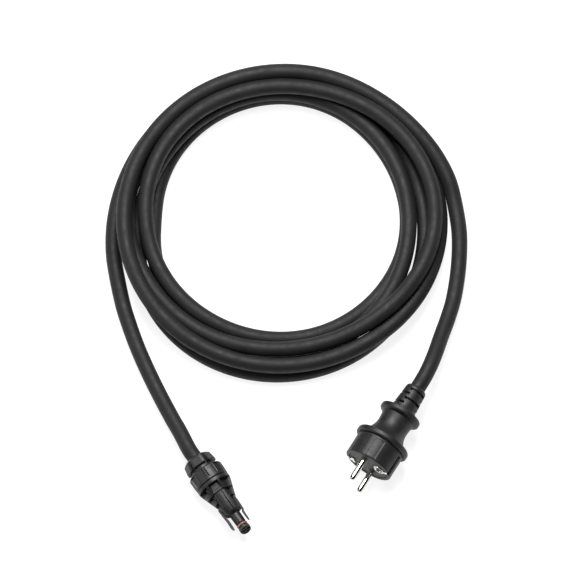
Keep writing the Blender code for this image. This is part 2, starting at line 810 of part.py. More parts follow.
def main():
    clear_scene()
    rubber = material("black_rubber", (0.035, 0.035, 0.037), 0.75)
    moulding = material("black_plastic", (0.045, 0.046, 0.048), 0.5)
    dark = material("insert_plastic", (0.03, 0.03, 0.032), 0.45)
    red = material("red_silicone", (0.62, 0.2, 0.16), 0.5)
    nickel = material("nickel", (0.75, 0.74, 0.72), 0.22, 1.0)
    brass = material("brass", (0.72, 0.55, 0.26), 0.35, 1.0)
    steel = material("zinc_steel", (0.6, 0.6, 0.6), 0.35, 1.0)
    cores = [
        material("core_brown", (0.2, 0.08, 0.03), 0.55),
        material("core_blue", (0.03, 0.12, 0.5), 0.55),
        material("core_green", (0.1, 0.42, 0.08), 0.55),
    ]
    connector = frame("connector_frame", CONNECTOR_PLACE, CONNECTOR_ROLL, CONNECTOR_HEADING)
    plug = frame("plug_frame", PLUG_PLACE, PLUG_ROLL, PLUG_HEADING)
    make_connector(connector, moulding, dark, rubber, red, brass, steel, cores)
    make_plug(plug, rubber, moulding, nickel, brass, cores)
    make_coil(rubber)
    make_tails(connector, plug, rubber)


main()
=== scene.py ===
"""Looks of the mains lead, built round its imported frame. Metres, +Z up, the lead lies on z = 0."""

import math

import bmesh
import bpy
import numpy as np
from mathutils import Matrix, Vector


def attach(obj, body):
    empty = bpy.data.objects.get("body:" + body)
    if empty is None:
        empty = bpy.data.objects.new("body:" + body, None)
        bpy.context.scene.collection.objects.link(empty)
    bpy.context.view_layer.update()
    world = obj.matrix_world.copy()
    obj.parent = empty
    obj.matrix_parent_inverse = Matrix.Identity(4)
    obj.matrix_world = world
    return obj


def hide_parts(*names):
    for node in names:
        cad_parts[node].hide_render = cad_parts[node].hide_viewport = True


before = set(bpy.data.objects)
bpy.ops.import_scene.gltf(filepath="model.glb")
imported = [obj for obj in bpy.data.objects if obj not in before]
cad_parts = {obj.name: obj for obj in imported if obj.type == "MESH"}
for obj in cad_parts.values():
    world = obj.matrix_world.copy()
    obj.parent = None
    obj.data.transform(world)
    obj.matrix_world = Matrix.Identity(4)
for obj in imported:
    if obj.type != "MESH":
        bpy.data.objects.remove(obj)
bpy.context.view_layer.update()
MM = 0.001
BODY = "lead"

# ---- places and sizes, as in the CAD -----------------------------------------------------

CABLE_RADIUS = 5.9  # mm, as are all the numbers of the coil
COIL_CENTRE = (-17.86, 191.44)
STATIONS_PER_TURN = 48
# The lay of the coil, a row for each lap and a value for each eighth of a turn, clockwise from
# the corner between -X and -Y: the centre line's radius, and how many strands it lies on.
COIL_START = 225
COIL_RADII = (
    (142, 124, 119, 121, 109, 107, 115, 121),
    (120, 105, 102, 103, 98, 94, 101, 105),
    (103, 99, 100, 105, 101, 95, 93, 93),
    (99, 102, 105, 101, 110, 118, 108, 103),
    (110, 113, 112, 116, 120, 118, 117, 117),
    (120, 117, 115, 114, 118, 133, 134),
)
COIL_LEVELS = (
    (0, 0, 0, 0, 0, 0, 0, 0),
    (0, 0.5, 1, 1, 1, 1, 0.5, 0),
    (0, 0, 0, 0, 0, 0, 0, 0),
    (0.5, 1.5, 2, 2, 2, 1.5, 1, 1),
    (1, 0, 0.5, 0.5, 0, 0.5, 1, 1),
    (1.5, 1, 1.5, 1.5, 1, 0, 0),
)
LEVEL_HEIGHT = 11.8
COIL_FIRST = 255.0  # degrees, clockwise from +Y over all the laps
COIL_LAST = 2242.5
# How the strands settle: shares of the way to go in each round, across and up.
STRAND_SPACING = 1.012 * 2 * CABLE_RADIUS
SETTLING_ROUNDS = 900
SMOOTHING = (0.12, 0.4)
PULL_TO_RADIUS = 0.2
PULL_TO_LEVEL = 0.05
WEIGHT = 0.06
PARTING = (0.45, 1.0)
FINISHING_ROUNDS = 100
FINISHING_SMOOTH_ROUNDS = 80
FINISHING_SMOOTHING = 0.1
FINISHING_PARTING = (0.7, 1.0)
ROUTE_SPACING = 3.0

# Points on the centre line between the coil and each end, in mm.
CONNECTOR_TAIL = (
    (-93.6, 22.8, 12.6), (-98.8, 33.0, 10.8), (-108.4, 53.2, 7.8), (-117.4, 73.2, 6.2),
    (-125.4, 92.6, 6.0), (-132.1, 112.0, 6.0), (-137.2, 130.0, 6.0),
)
PLUG_TAIL = (
    (93.2, 72.2, 20.6), (97.4, 84.2, 17.4), (101.9, 99.6, 12.4), (106.9, 115.4, 8.8),
    (111.1, 131.0, 6.8), (114.2, 150.4, 6.0), (115.7, 169.6, 6.0), (115.4, 188.0, 6.0),
)


def placement(place, heading, roll):
    """The matrix that takes an end's own millimetres, +X out of its mating side, to the row frame."""
    turn = Matrix.Rotation(math.radians(heading), 4, "Z") @ Matrix.Rotation(math.radians(roll), 4, "X")
    return Matrix.Translation(Vector(place) * MM) @ turn @ Matrix.Scale(MM, 4)


CONNECTOR = placement((-81.86, 0.94, 13.98), -56.5, 12.0)
PLUG = placement((83.54, 53.94, 21.39), -120.98, 18.7)
CONNECTOR_SHEATH_END = 9.2
PLUG_SHEATH_END = 26.3


# ---- materials ---------------------------------------------------------------------------


class Finish:
    """A node material: a Principled shader with its inputs fed by procedural nodes."""

    def __init__(self, name, colour, roughness, metallic=0.0, specular=0.5):
        self.material = bpy.data.materials.new(name)
        self.material.use_nodes = True
        self.tree = self.material.node_tree
        self.shader = self.tree.nodes["Principled BSDF"]
        self.shader.inputs["Base Color"].default_value = (*colour, 1.0)
        self.shader.inputs["Roughness"].default_value = roughness
        self.shader.inputs["Metallic"].default_value = metallic
        self.shader.inputs["Specular IOR Level"].default_value = specular
        self.material.diffuse_color = (*colour, 1.0)
        self.normal = None

    def node(self, kind, **inputs):
        made = self.tree.nodes.new(kind)
        for name, value in inputs.items():
            socket = made.inputs[name.replace("_", " ")]
            if isinstance(value, bpy.types.NodeSocket):
                self.tree.links.new(value, socket)
            else:
                socket.default_value = value
        return made

    def link(self, one, other):
        self.tree.links.new(one, other)

    def place(self, source="Object"):
        """Coordinates in metres on the object, or along and round the cable."""
        return self.node("ShaderNodeTexCoord").outputs[source]

    def noise(self, size, detail=3.0, where=None):
        """Noise whose grains are about size metres across."""
        vector = where or self.place()
        made = self.node(
            "ShaderNodeTexNoise", Vector=vector, Scale=1.0 / size, Detail=detail, Roughness=0.55
        )
        return made.outputs["Fac"]

    def spread(self, value, low, high, start=0.0, end=1.0):
        """The value, re-mapped from start..end to low..high."""
        made = self.node("ShaderNodeMapRange", Value=value)
        made.inputs["From Min"].default_value = start
        made.inputs["From Max"].default_value = end
        made.inputs["To Min"].default_value = low
        made.inputs["To Max"].default_value = high
        return made.outputs["Result"]

    def mix(self, share, one, other):
        made = self.tree.nodes.new("ShaderNodeMix")
        made.data_type = "RGBA"
        if isinstance(share, bpy.types.NodeSocket):
            self.link(share, made.inputs[0])
        else:
            made.inputs[0].default_value = share
        for socket, value in ((made.inputs[6], one), (made.inputs[7], other)):
            if isinstance(value, bpy.types.NodeSocket):
                self.link(value, socket)
            else:
                socket.default_value = (*value, 1.0)
        return made.outputs[2]

    def colour(self, socket):
        self.link(socket, self.shader.inputs["Base Color"])

    def roughness(self, socket):
        self.link(socket, self.shader.inputs["Roughness"])

    def bump(self, height, distance, strength=1.0):
        made = self.node("ShaderNodeBump", Height=height, Distance=distance, Strength=strength)
        if self.normal is not None:
            self.link(self.normal, made.inputs["Normal"])
        self.normal = made.outputs["Normal"]
        self.link(self.normal, self.shader.inputs["Normal"])


def grained(name, dark, light, rough, grain, depth, specular=0.4):
    """Moulded rubber or plastic: a spark-eroded grain, cloudy tone and uneven sheen."""
    made = Finish(name, light, sum(rough) / 2, specular=specular)
    cloud = made.noise(0.009, 4.0)
    fine = made.noise(grain, 2.0)
    tone = made.mix(made.spread(cloud, 0.0, 1.0, 0.3, 0.7), dark, light)
    made.colour(tone)
    made.roughness(made.spread(made.noise(0.004, 4.0), rough[0], rough[1], 0.3, 0.7))
    made.bump(fine, depth)
    return made


def metal(name, dark, light, rough):
    """A plated metal with a slowly changing sheen and very fine marks."""
    made = Finish(name, light, sum(rough) / 2, metallic=1.0)
    marks = made.noise(0.0006, 2.0)
    made.colour(made.mix(made.spread(made.noise(0.005, 4.0), 0.0, 1.0, 0.35, 0.7), dark, light))
    made.roughness(made.spread(made.noise(0.006, 3.0), rough[0], rough[1], 0.3, 0.7))
    made.bump(marks, 0.0000008, 0.2)
    return made


def cable_finish():
    """Matt extruded rubber: faint lines along its length, a fine grain and a little dust."""
    made = Finish("cable_rubber", (0.014, 0.014, 0.015), 0.6, specular=0.3)
    along = made.place("UV")
    streak_place = made.node("ShaderNodeMapping", Vector=along, Scale=(25.0, 1500.0, 1.0)).outputs["Vector"]
    streak = made.noise(1.0, 2.0, streak_place)
    cloud = made.noise(0.02, 4.0)
    tone = made.mix(made.spread(cloud, 0.0, 1.0, 0.3, 0.7), (0.011, 0.011, 0.0115), (0.016, 0.016, 0.0165))
    made.colour(tone)
    made.roughness(made.spread(made.noise(0.006, 4.0), 0.52, 0.68, 0.3, 0.7))
    made.bump(streak, 0.00003, 0.35)
    made.bump(made.noise(0.0006, 2.0), 0.00004, 0.5)
    return made


FINISHES = {
    "cable_rubber": cable_finish(),
    "plug_rubber": grained(
        "plug_rubber", (0.011, 0.011, 0.0115), (0.017, 0.017, 0.0175), (0.42, 0.54), 0.0005, 0.00005),
    "seal_rubber": grained(
        "seal_rubber", (0.02, 0.02, 0.021), (0.03, 0.03, 0.031), (0.55, 0.7), 0.0005, 0.00003),
    "connector_plastic": grained(
        "connector_plastic", (0.012, 0.012, 0.0125), (0.018, 0.018, 0.0185), (0.38, 0.48), 0.0004,
        0.00003, 0.45),
    "face_plastic": grained(
        "face_plastic", (0.035, 0.035, 0.036), (0.055, 0.055, 0.056), (0.45, 0.6), 0.0004, 0.00004),
    "insert_plastic": grained(
        "insert_plastic", (0.004, 0.004, 0.004), (0.008, 0.008, 0.008), (0.5, 0.65), 0.0004, 0.00003, 0.2),
    "red_silicone": grained(
        "red_silicone", (0.32, 0.13, 0.115), (0.42, 0.19, 0.17), (0.32, 0.45), 0.0004, 0.00003),
    "nickel": metal("nickel", (0.66, 0.65, 0.63), (0.8, 0.79, 0.77), (0.09, 0.13)),
    "brass_strip": metal("brass_strip", (0.55, 0.4, 0.16), (0.72, 0.55, 0.26), (0.25, 0.42)),
    "screw_steel": metal("screw_steel", (0.45, 0.45, 0.46), (0.6, 0.6, 0.6), (0.25, 0.4)),
    "core_brown": grained(
        "core_brown", (0.12, 0.045, 0.02), (0.2, 0.08, 0.03), (0.35, 0.5), 0.0004, 0.00002),
    "core_blue": grained(
        "core_blue", (0.02, 0.07, 0.35), (0.03, 0.12, 0.5), (0.35, 0.5), 0.0004, 0.00002),
    "core_green": grained(
        "core_green", (0.06, 0.3, 0.05), (0.1, 0.42, 0.08), (0.35, 0.5), 0.0004, 0.00002),
}


SLOT_OF_NODE = {
    "cable_coil": "cable_rubber", "connector_tail": "cable_rubber", "plug_tail": "cable_rubber",
    "plug_body": "plug_rubber", "plug_strain_relief": "plug_rubber", "cable_seal": "seal_rubber",
    "pin_bridge": "face_plastic", "clamp_cage": "insert_plastic", "contact_carrier": "insert_plastic",
    "keyed_insert": "insert_plastic", "nose_o_ring": "red_silicone", "earth_strap": "brass_strip",
    "earth_socket": "nickel",
}
SLOT_OF_GROUP = {
    "plug_pin": "nickel", "earth_clip": "nickel", "crimp": "brass_strip", "contact": "brass_strip",
    "terminal_screw": "screw_steel",
}
SLOT_OF_CORE = {"line": "core_brown", "neutral": "core_blue", "earth": "core_green"}


def slot_of(node):
    if node in SLOT_OF_NODE:
        return SLOT_OF_NODE[node]
    group, _, kind = node.rpartition("_")
    if group.endswith("core"):
        return SLOT_OF_CORE[kind]
    return SLOT_OF_GROUP.get(group, "connector_plastic")


def dress_cad():
    """Every CAD node gets the finish of its slot."""
    for node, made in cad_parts.items():
        made.data.materials.clear()
        made.data.materials.append(FINISHES[slot_of(node)].material)


# ---- the cable ---------------------------------------------------------------------------


def hermite(at, x, y):
    """A smooth curve through (x, y), read at each of at."""
    slope = np.gradient(y, x)
    i = np.clip(np.searchsorted(x, at) - 1, 0, len(x) - 2)
    h = x[i + 1] - x[i]
    t = (at - x[i]) / h
    value = y[i] * (2 * t**3 - 3 * t**2 + 1) + y[i + 1] * (3 * t**2 - 2 * t**3)
    return value + h * (slope[i] * (t**3 - 2 * t**2 + t) + slope[i + 1] * (t**3 - t**2))


def settled_coil():
    """The turns' centre line in mm. They are drawn to their places and down, and push each other apart."""
    radii = np.array([radius for lap in COIL_RADII for radius in lap], float)
    heights = CABLE_RADIUS + LEVEL_HEIGHT * np.array([level for lap in COIL_LEVELS for level in lap])
    eighths = COIL_START + 45 * np.arange(len(radii))
    turn = np.arange(COIL_FIRST, COIL_LAST + 1e-6, 360 / STATIONS_PER_TURN)
    goal = np.stack([hermite(turn, eighths, radii), hermite(turn, eighths, heights)], axis=1)
    here = goal.copy()

    def part_strands(share):
        for lag in range(STATIONS_PER_TURN, len(turn), STATIONS_PER_TURN):
            across = here[lag:] - here[:-lag]
            far = np.maximum(np.hypot(across[:, 0], across[:, 1]), 1e-6)
            push = across * (np.maximum(STRAND_SPACING - far, 0) * 0.5 / far)[:, None] * share
            here[:-lag] -= push
            here[lag:] += push
        here[:, 1] = np.maximum(here[:, 1], CABLE_RADIUS + 0.05)
        here[[0, -1]] = goal[[0, -1]]

    for step in range(SETTLING_ROUNDS):
        fade = 1 - step / SETTLING_ROUNDS
        middle = (here[:-2] + here[2:]) / 2
        here[1:-1] += np.array(SMOOTHING) * (middle - here[1:-1])
        here[:, 0] += PULL_TO_RADIUS * (goal[:, 0] - here[:, 0])
        here[:, 1] += PULL_TO_LEVEL * fade * (goal[:, 1] - here[:, 1]) - WEIGHT
        part_strands(np.array(PARTING))
    for step in range(FINISHING_ROUNDS):
        part_strands(np.array(FINISHING_PARTING))
        if step < FINISHING_SMOOTH_ROUNDS:
            middle = (here[:-2] + here[2:]) / 2
            here[1:-1] += FINISHING_SMOOTHING * (middle - here[1:-1])
    angle = np.radians(turn)
    x = COIL_CENTRE[0] + here[:, 0] * np.sin(angle)
    y = COIL_CENTRE[1] + here[:, 0] * np.cos(angle)
    return np.stack([x, y, here[:, 1]], axis=1)


def smooth_route(points, spacing):
    """Points at an even spacing along a Catmull-Rom curve through the given ones."""
    padded = np.vstack([2 * points[0] - points[1], points, 2 * points[-1] - points[-2]])
    t = np.linspace(0, 1, 12, endpoint=False)[:, None]
    fine = []
    for a, b, c, d in zip(padded, padded[1:], padded[2:], padded[3:]):
        fine.append(
            0.5 * (2 * b + (c - a) * t + (2 * a - 5 * b + 4 * c - d) * t**2
                   + (3 * b - a - 3 * c + d) * t**3)
        )
    fine = np.vstack([*fine, points[-1]])
    along = np.concatenate([[0], np.cumsum(np.linalg.norm(np.diff(fine, axis=0), axis=1))])
    at = np.linspace(0, along[-1], round(along[-1] / spacing) + 1)
    route = np.stack([np.interp(at, along, fine[:, k]) for k in range(3)], axis=1)
    route[:, 2] = np.maximum(route[:, 2], CABLE_RADIUS)
    return route, along[-1]


def end_run(matrix, xs):
    """Points on the straight stretch in one end, in mm."""
    return np.array([tuple(matrix @ Vector((x, 0, 0)) / MM) for x in xs])


def cable_route():
    start = end_run(CONNECTOR, (CONNECTOR_SHEATH_END, 0.0, -9.0))
    end = end_run(PLUG, (PLUG_SHEATH_END, 9.0, -9.0))
    points = np.vstack([start, CONNECTOR_TAIL, settled_coil(), PLUG_TAIL[::-1], end[::-1]])
    return smooth_route(points, ROUTE_SPACING)


def carried_frames(route):
    """Two directions across the route at each point, carried along it without twist."""
    ahead = np.gradient(route, axis=0)
    ahead /= np.linalg.norm(ahead, axis=1)[:, None]
    side = np.cross(ahead[0], (0, 0, 1))
    side /= np.linalg.norm(side)
    sides = []
    for direction in ahead:
        side = side - direction * (side @ direction)
        side = side / np.linalg.norm(side)
        sides.append(side)
    sides = np.array(sides)
    return sides, np.cross(sides, ahead)


def tube_mesh(name, route, radius, facets):
    """A closed tube in metres along a route in mm, with its length and girth in its UV map."""
    sides, ups = carried_frames(route)
    angle = 2 * math.pi * np.arange(facets) / facets
    ring = sides[:, None] * np.cos(angle)[None, :, None] + ups[:, None] * np.sin(angle)[None, :, None]
    points = (route[:, None] + radius * ring).reshape(-1, 3) * MM
    count = len(route)
    faces = []
    for i in range(count - 1):
        for k in range(facets):
            j = (k + 1) % facets
            faces.append((i * facets + k, i * facets + j, (i + 1) * facets + j, (i + 1) * facets + k))
    quads = len(faces)
    faces.append(tuple(reversed(range(facets))))
    faces.append(tuple((count - 1) * facets + k for k in range(facets)))
    mesh = bpy.data.meshes.new(name)
    mesh.from_pydata([tuple(p) for p in points], [], faces)
    along = np.concatenate([[0], np.cumsum(np.linalg.norm(np.diff(route, axis=0), axis=1))]) * MM
    girth = 2 * math.pi * radius * MM / facets
    uv = np.zeros((len(mesh.loops), 2))
    i = np.repeat(np.arange(count - 1), facets)
    k = np.tile(np.arange(facets), count - 1)
    corners = np.stack([
        np.stack([along[i], k * girth], 1), np.stack([along[i], (k + 1) * girth], 1),
        np.stack([along[i + 1], (k + 1) * girth], 1), np.stack([along[i + 1], k * girth], 1),
    ], axis=1)
    uv[: 4 * quads] = corners.reshape(-1, 2)
    layer = mesh.uv_layers.new(name="UVMap")
    layer.data.foreach_set("uv", uv.astype(np.float32).ravel())
    mesh.shade_smooth()
    return mesh


def shown(mesh, name, slot, body=BODY, replaces=()):
    """A new piece of the object with its finish, riding on its body in place of CAD nodes."""
    made = bpy.data.objects.new(name, mesh)
    bpy.context.scene.collection.objects.link(made)
    mesh.materials.clear()
    mesh.materials.append(FINISHES[slot].material)
    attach(made, body)
    if replaces:
        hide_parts(*replaces)
    return made


def make_cable():
    route, length = cable_route()
    mesh = tube_mesh("cable", route, CABLE_RADIUS, 28)
    cable = shown(mesh, "cable", "cable_rubber", replaces=("cable_coil", "connector_tail", "plug_tail"))


# ---- shaping ------------------------------------------------------------------------------


def eased(value, low, high):
    """0 below low, 1 above high, smooth between."""
    t = np.clip((value - low) / (high - low), 0, 1)
    return t * t * (3 - 2 * t)


def band(value, low, high, edge=0.35):
    """1 between low and high, 0 outside, with edges that are edge wide."""
    half = edge / 2
    return eased(value, low - half, low + half) * (1 - eased(value, high - half, high + half))


def sector(angle, middle, width, edge=2.0):
    """1 within width degrees about middle, 0 outside."""
    off = np.abs((angle - middle + 180) % 360 - 180)
    return 1 - eased(off, (width - edge) / 2, (width + edge) / 2)


def rounded(outline, closed=True, step=0.5):
    """The outline's points, each corner (x, r, size) eased by a short curve and long edges divided."""
    corners = [np.array(corner[:2], float) for corner in outline]
    sizes = [corner[2] if len(corner) > 2 else 0.0 for corner in outline]
    count = len(corners)
    eased_points = []
    for i, (corner, size) in enumerate(zip(corners, sizes)):
        if not size or (not closed and i in (0, count - 1)):
            eased_points.append(corner)
            continue
        before = corners[i - 1] - corner
        after = corners[(i + 1) % count] - corner
        near = np.linalg.norm(before)
        far = np.linalg.norm(after)
        cut = min(size, 0.45 * near, 0.45 * far)
        one = corner + before / near * cut
        other = corner + after / far * cut
        for t in (0, 0.25, 0.5, 0.75, 1):
            eased_points.append((1 - t) ** 2 * one + 2 * t * (1 - t) * corner + t * t * other)
    points = []
    last = len(eased_points) - (0 if closed else 1)
    for i in range(last):
        one = eased_points[i]
        other = eased_points[(i + 1) % len(eased_points)]
        parts = max(1, math.ceil(np.linalg.norm(other - one) / step))
        for part in range(parts):
            points.append(one + (other - one) * part / parts)
    if not closed:
        points.append(eased_points[-1])
    return np.array(points)


def mesh_of(name, points, faces, matrix, sharp=35):
    """A mesh in the row frame, from points in an end's own millimetres."""
    mesh = bpy.data.meshes.new(name)
    mesh.from_pydata([tuple(matrix @ Vector(p)) for p in points], [], faces)
    bm = bmesh.new()
    bm.from_mesh(mesh)
    bmesh.ops.recalc_face_normals(bm, faces=bm.faces)
    bm.to_mesh(mesh)
    bm.free()
    mesh.shade_smooth()
    mesh.set_sharp_from_angle(angle=math.radians(sharp))
    return mesh


def turned(name, outline, matrix, relief=None, facets=96, closed=True, step=0.5, at=(0.0, 0.0)):
    """A turned solid about local x, at (y, z), its radius changed by relief(x, r, degrees)."""
    profile = rounded(outline, closed, step)
    x = profile[:, :1] * np.ones((1, facets))
    degrees = np.arange(facets)[None, :] * 360 / facets * np.ones((len(profile), 1))
    radius = profile[:, 1:] * np.ones((1, facets))
    if relief:
        radius = radius + relief(x, radius, degrees)
    angle = np.radians(degrees)
    points = np.stack([x, at[0] + radius * np.sin(angle), at[1] + radius * np.cos(angle)], axis=2)
    rows = len(profile)
    faces = []
    for i in range(rows if closed else rows - 1):
        here = i * facets
        there = ((i + 1) % rows) * facets
        for k in range(facets):
            j = (k + 1) % facets
            faces.append((here + k, here + j, there + j, there + k))
    if not closed:
        faces.append(tuple(range(facets)))
        faces.append(tuple((rows - 1) * facets + k for k in reversed(range(facets))))
    return mesh_of(name, points.reshape(-1, 3), faces, matrix)


def barred(name, sections, matrix, sharp=30):
    """A solid through polygons: each section is (x, ((y, z), ...)) with equal counts."""
    points = []
    for x, ring in sections:
        points += [(x, y, z) for y, z in ring]
    size = len(sections[0][1])
    faces = []
    for i in range(len(sections) - 1):
        for k in range(size):
            j = (k + 1) % size
            faces.append((i * size + k, i * size + j, (i + 1) * size + j, (i + 1) * size + k))
    faces.append(tuple(range(size)))
    faces.append(tuple((len(sections) - 1) * size + k for k in reversed(range(size))))
    return mesh_of(name, points, faces, matrix, sharp)


def bridged(name, near, far, matrix):
    """A solid between two outlines with equal counts of points."""
    count = len(near)
    faces = [tuple(range(count)), tuple(count + k for k in reversed(range(count)))]
    faces += [(k, (k + 1) % count, count + (k + 1) % count, count + k) for k in range(count)]
    return mesh_of(name, [*near, *far], faces, matrix)


def prism(name, outline, half, matrix):
    """An outline in x and y, drawn out along z to half on each side."""
    near, far = ([(x, y, z) for x, y in outline] for z in (-half, half))
    return bridged(name, near, far, matrix)


def softened(made, width, segments=3):
    """Bevels the piece's edges, by a width in metres."""
    bevel = made.modifiers.new("edge", "BEVEL")
    bevel.width = width
    bevel.segments = segments
    bevel.limit_method = "ANGLE"
    bevel.angle_limit = math.radians(28)


# ---- the connector ------------------------------------------------------------------------


def make_gland_nut():
    """Six flat-topped lugs with slots between them, flaring forwards, with a rolled front edge."""
    outline = [
        (0.0, 6.5, 0.3), (0.0, 8.5, 0.5), (0.6, 9.4, 0.4), (2.0, 11.3, 0.5), (8.3, 12.35, 0.5),
        (9.0, 11.8, 0.3), (9.0, 10.0), (1.2, 10.0), (1.2, 6.5),
    ]

    def relief(x, r, a):
        across = np.radians((a + 30) % 60 - 30)
        flat = r * (np.minimum(0.965 / np.cos(across), 1.01) - 1)
        slots = sum(sector(a, 30 + 60 * lug, 9.5, 1.6) for lug in range(6))
        return eased(r, 10.3, 10.6) * (flat * (1 - slots) - slots * (r - 10.15))

    mesh = turned("nut_shell", outline, CONNECTOR, relief, 300, step=0.4)
    shown(mesh, "nut_shell", "connector_plastic", "nut", ["gland_nut"])


BARREL_START = 12.3
BARREL_END = 26.3
BARREL_RADIUS = 13.6
CONE_END = 43.5
CONE_END_RADIUS = 7.9
WINDOW_FLOOR = 8.3
BAR_START = 31.4
BAR_TOP = 9.9
RIDGE_START = 34.0
RIDGE_END = 51.6
RIDGE_BED = 7.2
RIDGE_HALF_WIDTH = 4.65
ARM_HALF_HEIGHT = 2.4
ARM_SLOT_EDGE = (2.55, 2.8)
POCKETS = ((26.6, 30.2, 4.4), (34.0, 37.0, 3.6), (40.6, 42.8, 2.4))


def housing_relief(x, r, a):
    """Barrel grooves and ribs, the ring seam, the cone's channels and its flank pockets."""
    outer = eased(r, 7.0, 7.2) * eased(x, BARREL_START - 0.2, BARREL_START + 0.1)
    along = band(x, BARREL_START + 1.0, 21.2, 0.5)
    change = np.zeros_like(x)
    for middle in (52, 128, 232, 308):
        change -= 1.3 * along * sector(a, middle, 26, 2.0)
        for side in (-14.4, 14.4):
            change += 0.35 * along * sector(a, middle + side, 3.2, 1.6)
    for middle in (79, 101, 259, 281):
        change += 0.35 * along * sector(a, middle, 3.4, 1.6)
    for middle in (0, 180):
        for side in (-3.2, 5.0):
            change -= 0.9 * band(x, BARREL_START + 1.0, 20.6, 0.5) * sector(a, middle + side, 2.2, 0.8)
    change -= 0.9 * band(x, 23.0, 23.6, 0.2)
    for start, end, deep in POCKETS:
        for middle in (53, 127, 233, 307):
            change -= deep * band(x, start, end, 0.3) * sector(a, middle, 50, 3.0)
    nearest = np.abs((a + 90) % 180 - 90)
    lateral = np.abs(r * np.sin(np.radians(nearest)))
    on_ridge = x > RIDGE_START - 0.3
    half = np.where(on_ridge, RIDGE_HALF_WIDTH + 0.35 + (x - RIDGE_START) * 0.037, 4.1)
    floor = np.where(on_ridge, RIDGE_BED, np.where(x > BAR_START, BAR_TOP, WINDOW_FLOOR))
    inside = (1 - eased(lateral, half - 0.15, half + 0.15)) * band(x, 26.4, 60, 0.2)
    depth = np.maximum(r - floor / np.maximum(np.cos(np.radians(nearest)), 0.5), 0)
    change = np.where(inside > 0.01, -depth * inside, change)
    return change * outer


def make_housing():
    outline = [
        (3.0, 8.9), (3.0, 9.7, 0.2), (BARREL_START, 9.7), (BARREL_START, 12.9, 0.3),
        (BARREL_START + 0.8, BARREL_RADIUS, 0.5), (BARREL_END, BARREL_RADIUS, 1.2),
        (CONE_END, CONE_END_RADIUS, 0.3), (CONE_END, 5.6), (25.2, 5.6), (23.8, 9.0),
        (14.4, 9.0), (14.1, 8.9),
    ]
    mesh = turned("housing_shell", outline, CONNECTOR, housing_relief, 288, step=0.3)
    shown(mesh, "housing_shell", "connector_plastic", BODY, ["connector_housing"])
    for side, name in ((1, "window_tab_upper"), (-1, "window_tab_lower")):
        sections = [
            (x, ((-3.7, side * 7.6), (-3.7, side * top), (3.7, side * top), (3.7, side * 7.6)))
            for x, top in ((27.0, 9.2), (31.2, 8.9))
        ]
        softened(shown(barred(name, sections, CONNECTOR), name, "face_plastic"), 0.2 * MM)


def ridge_section(half, radius, foot, side):
    """A ridge's section: a round top with two grooves along it, and flat sides and foot."""
    y = np.linspace(-half, half, 49)
    grooves = 0.8 * sum(band(y, middle - 0.3, middle + 0.3, 0.2) for middle in (-3.2, 2.0))
    z = np.sqrt(radius**2 - y**2) - grooves
    ring = [(-half, foot), *zip(y, z), (half, foot)]
    return tuple((y, side * z) for y, z in ring)


def make_sleeve():
    """The front collar with a lip, a slot beside each arm, and a stepped ridge above and below."""
    outline = [
        (43.8, 5.5), (43.8, 8.2, 0.3), (46.6, 8.0, 0.3), (47.2, 7.4, 0.3), (51.4, 7.1, 0.4),
        (52.2, 6.1, 0.3), (52.2, 5.5),
    ]

    def relief(x, r, a):
        turn = np.radians(a)
        slot = 1 - eased(np.abs(r * np.cos(turn)), *ARM_SLOT_EDGE)
        floor = 6.4 - (x - 46.5) * 0.11
        depth = np.maximum(r - floor / np.maximum(np.abs(np.sin(turn)), 0.5), 0)
        return -slot * depth * eased(x, 46.2, 46.5)

    shown(
        turned("sleeve_collar", outline, CONNECTOR, relief, 240, step=0.4),
        "sleeve_collar", "connector_plastic", BODY, ["latch_sleeve"],
    )
    for side, name in ((1, "sleeve_ridge_upper"), (-1, "sleeve_ridge_lower")):
        sections = []
        for x, radius in ((RIDGE_START, 9.6), (RIDGE_START + 0.4, 9.95), (40.0, 9.5), (46.4, 9.1),
                          (RIDGE_END - 0.5, 7.95), (RIDGE_END, 7.4)):
            half = RIDGE_HALF_WIDTH + (x - RIDGE_START) * 0.037
            foot = 5.0 if x > 45 else RIDGE_BED + 0.05
            sections.append((x, ridge_section(half, radius, foot, side)))
        ridge = shown(barred(name, sections, CONNECTOR, 24), name, "connector_plastic")
        softened(ridge, 0.1 * MM, 2)


def make_arms():
    """The two springy arms: a thick root beside the collar, a step, and a thin tip with a barb."""
    left = [
        (43.9, -6.8), (43.9, -8.9), (53.8, -8.5), (54.8, -8.3), (60.4, -8.6), (62.0, -8.3),
        (62.9, -7.2), (62.0, -6.5), (55.4, -6.2), (53.6, -6.5),
    ]
    right = [
        (43.9, 6.7), (43.9, 8.3), (52.6, 8.1), (53.5, 7.8), (54.0, 7.3), (60.6, 7.1), (62.2, 6.9),
        (63.0, 6.3), (62.0, 5.6), (55.4, 5.3), (53.6, 6.3),
    ]
    for side, outline in (("left", left), ("right", right)):
        name = f"arm_{side}_blade"
        mesh = prism(name, outline, ARM_HALF_HEIGHT, CONNECTOR)
        arm = shown(mesh, name, "connector_plastic", f"latch_{side}", [f"latch_arm_{side}"])
        softened(arm, 0.18 * MM)


NOSE_RADIUS = 4.1
TIP_RADIUS = 4.45
RING_THICKNESS = 1.6
TIP_START = 65.1
TIP_BAR_HALF = 0.3


